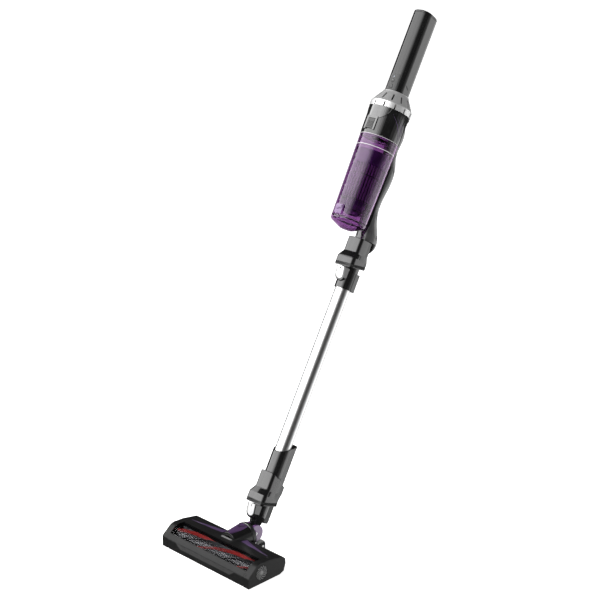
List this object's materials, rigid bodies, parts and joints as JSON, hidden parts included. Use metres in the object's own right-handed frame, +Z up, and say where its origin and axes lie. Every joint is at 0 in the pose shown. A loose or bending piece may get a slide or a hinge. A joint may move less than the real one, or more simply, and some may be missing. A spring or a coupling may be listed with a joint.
{
  "type": "cordless stick vacuum",
  "caption": "Cordless stick vacuum: round handle, motor unit, clear dust bin, aluminium wand with quick releases, and a motorised floor head on a two-way elbow.",
  "frame": {"origin": "middle of the hand grip, on the handle's axis", "axes": "+Z up, +X along the width of the floor head, -Y the front; the stick leans back 30 degrees from +Z"},
  "size_m": [0.23, 0.5927, 0.936],
  "materials": {
    "black_gloss": "high gloss moulded shell",
    "black_satin": "fine satin",
    "silver_satin": "satin silver cowl",
    "bin_clear": "transparent purple",
    "window_clear": "clear smoked window",
    "spine_gloss": "dark grey gloss",
    "aluminium": "polished, lengthwise grain",
    "head_charcoal": "fine grain charcoal",
    "bumper_grey": "satin grey",
    "purple_clear": "tinted purple",
    "white_tab": "white",
    "brush_grey": "soft grey",
    "bristle_red": "dense red bristle",
    "fin_dark": "soft blade",
    "wheel_grey": "soft grey tread",
    "rubber_black": "seal rubber",
    "steel": "plain",
    "cell_wrap": "shrink wrap",
    "board_green": "solder mask",
    "filter_white": "pleated fleece"
  },
  "bodies": {
    "main_unit": {"handle_grip": "black_gloss", "handle_end_cap": "black_gloss", "control_panel": "black_satin", "control_board": "board_green", "charge_socket": "black_satin", "battery_cells": "cell_wrap", "battery_holder": "black_satin", "exhaust_ring": "silver_satin", "exhaust_filter": "filter_white", "motor_housing": "black_gloss", "motor_can": "steel", "rear_duct": "black_gloss", "spine_cover": "spine_gloss", "inlet_collar": "black_gloss"},
    "power_button": {"power_button": "black_satin"},
    "boost_button": {"boost_button": "black_satin"},
    "bin_latch": {"bin_latch": "black_satin"},
    "fan": {"motor_shaft": "steel", "fan_impeller": "aluminium"},
    "dust_bin": {"bin_tub": "bin_clear", "lid_hinge_pin": "steel", "filter_frame": "purple_clear", "pleated_filter": "filter_white", "cyclone_cone": "purple_clear"},
    "bin_lid": {"bin_lid": "bin_clear", "lid_seal": "rubber_black"},
    "lid_catch": {"lid_catch": "black_satin"},
    "wand": {"wand_tube": "aluminium", "wand_spigot": "black_gloss", "wand_collar": "black_gloss", "wand_socket": "black_gloss"},
    "upper_release": {"upper_release": "white_tab"},
    "lower_release": {"lower_release": "white_tab"},
    "neck": {"neck_pipe": "black_gloss", "neck_cable_cover": "black_satin"},
    "elbow": {"swivel_ring": "black_satin", "knuckle_shell": "purple_clear", "pitch_pins": "steel"},
    "floor_head": {"head_shell": "head_charcoal", "brush_window": "window_clear", "front_bumper": "bumper_grey", "sole_plate": "head_charcoal", "sole_screws": "steel", "glide_strip": "filter_white", "left_end_cap": "head_charcoal", "swivel_hood": "black_gloss", "wheel_axles": "steel", "brush_bearings": "steel", "brush_motor": "steel", "drive_belt": "rubber_black"},
    "right_cap": {"right_end_cap": "head_charcoal"},
    "brush": {"brush_core": "brush_grey", "brush_bristles": "bristle_red", "brush_fins": "fin_dark", "brush_pulley": "black_satin"},
    "brush_drive": {"motor_spindle": "steel", "motor_pulley": "black_satin"},
    "front_rollers": {"front_rollers": "wheel_grey"},
    "rear_wheel_left": {"rear_wheel_left": "wheel_grey"},
    "rear_wheel_right": {"rear_wheel_right": "wheel_grey"}
  },
  "joints": [
    {"name": "wand_release", "type": "slide", "parent": "main_unit", "child": "wand", "axis": [0, -0.5, -0.866], "range_m": [0, 0.07]},
    {"name": "head_release", "type": "slide", "parent": "wand", "child": "neck", "axis": [0, -0.5, -0.866], "range_m": [0, 0.07]},
    {"name": "neck_pitch", "type": "hinge", "parent": "neck", "child": "elbow", "pos_m": [0, -0.42423, -0.83818], "axis": [1, 0, 0], "range_deg": [-18, 50]},
    {"name": "neck_swivel", "type": "hinge", "parent": "elbow", "child": "floor_head", "pos_m": [0, -0.44103, -0.83818], "axis": [0, 1, 0], "range_deg": [-60, 60]},
    {"name": "brush_spin", "type": "hinge", "parent": "floor_head", "child": "brush", "pos_m": [0, -0.51103, -0.84708], "axis": [1, 0, 0], "continuous": true},
    {"name": "brush_motor_spin", "type": "hinge", "parent": "floor_head", "child": "brush_drive", "pos_m": [0, -0.47203, -0.84708], "axis": [1, 0, 0], "continuous": true},
    {"name": "right_cap_pull", "type": "slide", "parent": "floor_head", "child": "right_cap", "axis": [1, 0, 0], "range_m": [0, 0.03]},
    {"name": "fan_spin", "type": "hinge", "parent": "main_unit", "child": "fan", "pos_m": [0, -0.079, -0.13683], "axis": [0, 0.5, 0.866], "continuous": true},
    {"name": "power_press", "type": "slide", "parent": "main_unit", "child": "power_button", "axis": [0, 0.866, -0.5], "range_m": [0, 0.0008], "stiffness_N_per_m": 1500},
    {"name": "boost_press", "type": "slide", "parent": "main_unit", "child": "boost_button", "axis": [0, 0.866, -0.5], "range_m": [0, 0.0008], "stiffness_N_per_m": 1500},
    {"name": "bin_latch_press", "type": "slide", "parent": "main_unit", "child": "bin_latch", "axis": [0, 0.866, -0.5], "range_m": [0, 0.0014], "stiffness_N_per_m": 1500},
    {"name": "bin_pull", "type": "slide", "parent": "main_unit", "child": "dust_bin", "axis": [0, -0.866, 0.5], "range_m": [0, 0.09]},
    {"name": "lid_hinge", "type": "hinge", "parent": "dust_bin", "child": "bin_lid", "pos_m": [0, -0.14092, -0.31528], "axis": [1, 0, 0], "range_deg": [0, 38]},
    {"name": "lid_catch_pull", "type": "slide", "parent": "dust_bin", "child": "lid_catch", "axis": [0, -0.866, 0.5], "range_m": [0, 0.0015], "stiffness_N_per_m": 1500},
    {"name": "upper_release_press", "type": "slide", "parent": "wand", "child": "upper_release", "axis": [0, 0.866, -0.5], "range_m": [0, 0.0025], "stiffness_N_per_m": 1500},
    {"name": "lower_release_press", "type": "slide", "parent": "neck", "child": "lower_release", "axis": [0, 0.866, -0.5], "range_m": [0, 0.0025], "stiffness_N_per_m": 1500},
    {"name": "front_rollers_spin", "type": "hinge", "parent": "floor_head", "child": "front_rollers", "pos_m": [0, -0.53563, -0.86188], "axis": [1, 0, 0], "continuous": true},
    {"name": "rear_wheel_left_spin", "type": "hinge", "parent": "floor_head", "child": "rear_wheel_left", "pos_m": [-0.023, -0.42503, -0.85563], "axis": [1, 0, 0], "continuous": true},
    {"name": "rear_wheel_right_spin", "type": "hinge", "parent": "floor_head", "child": "rear_wheel_right", "pos_m": [0.023, -0.42503, -0.85563], "axis": [1, 0, 0], "continuous": true}
  ],
  "couplings": [
    {"joint": "brush_motor_spin", "follows": "brush_spin", "ratio": 2.5}
  ]
}
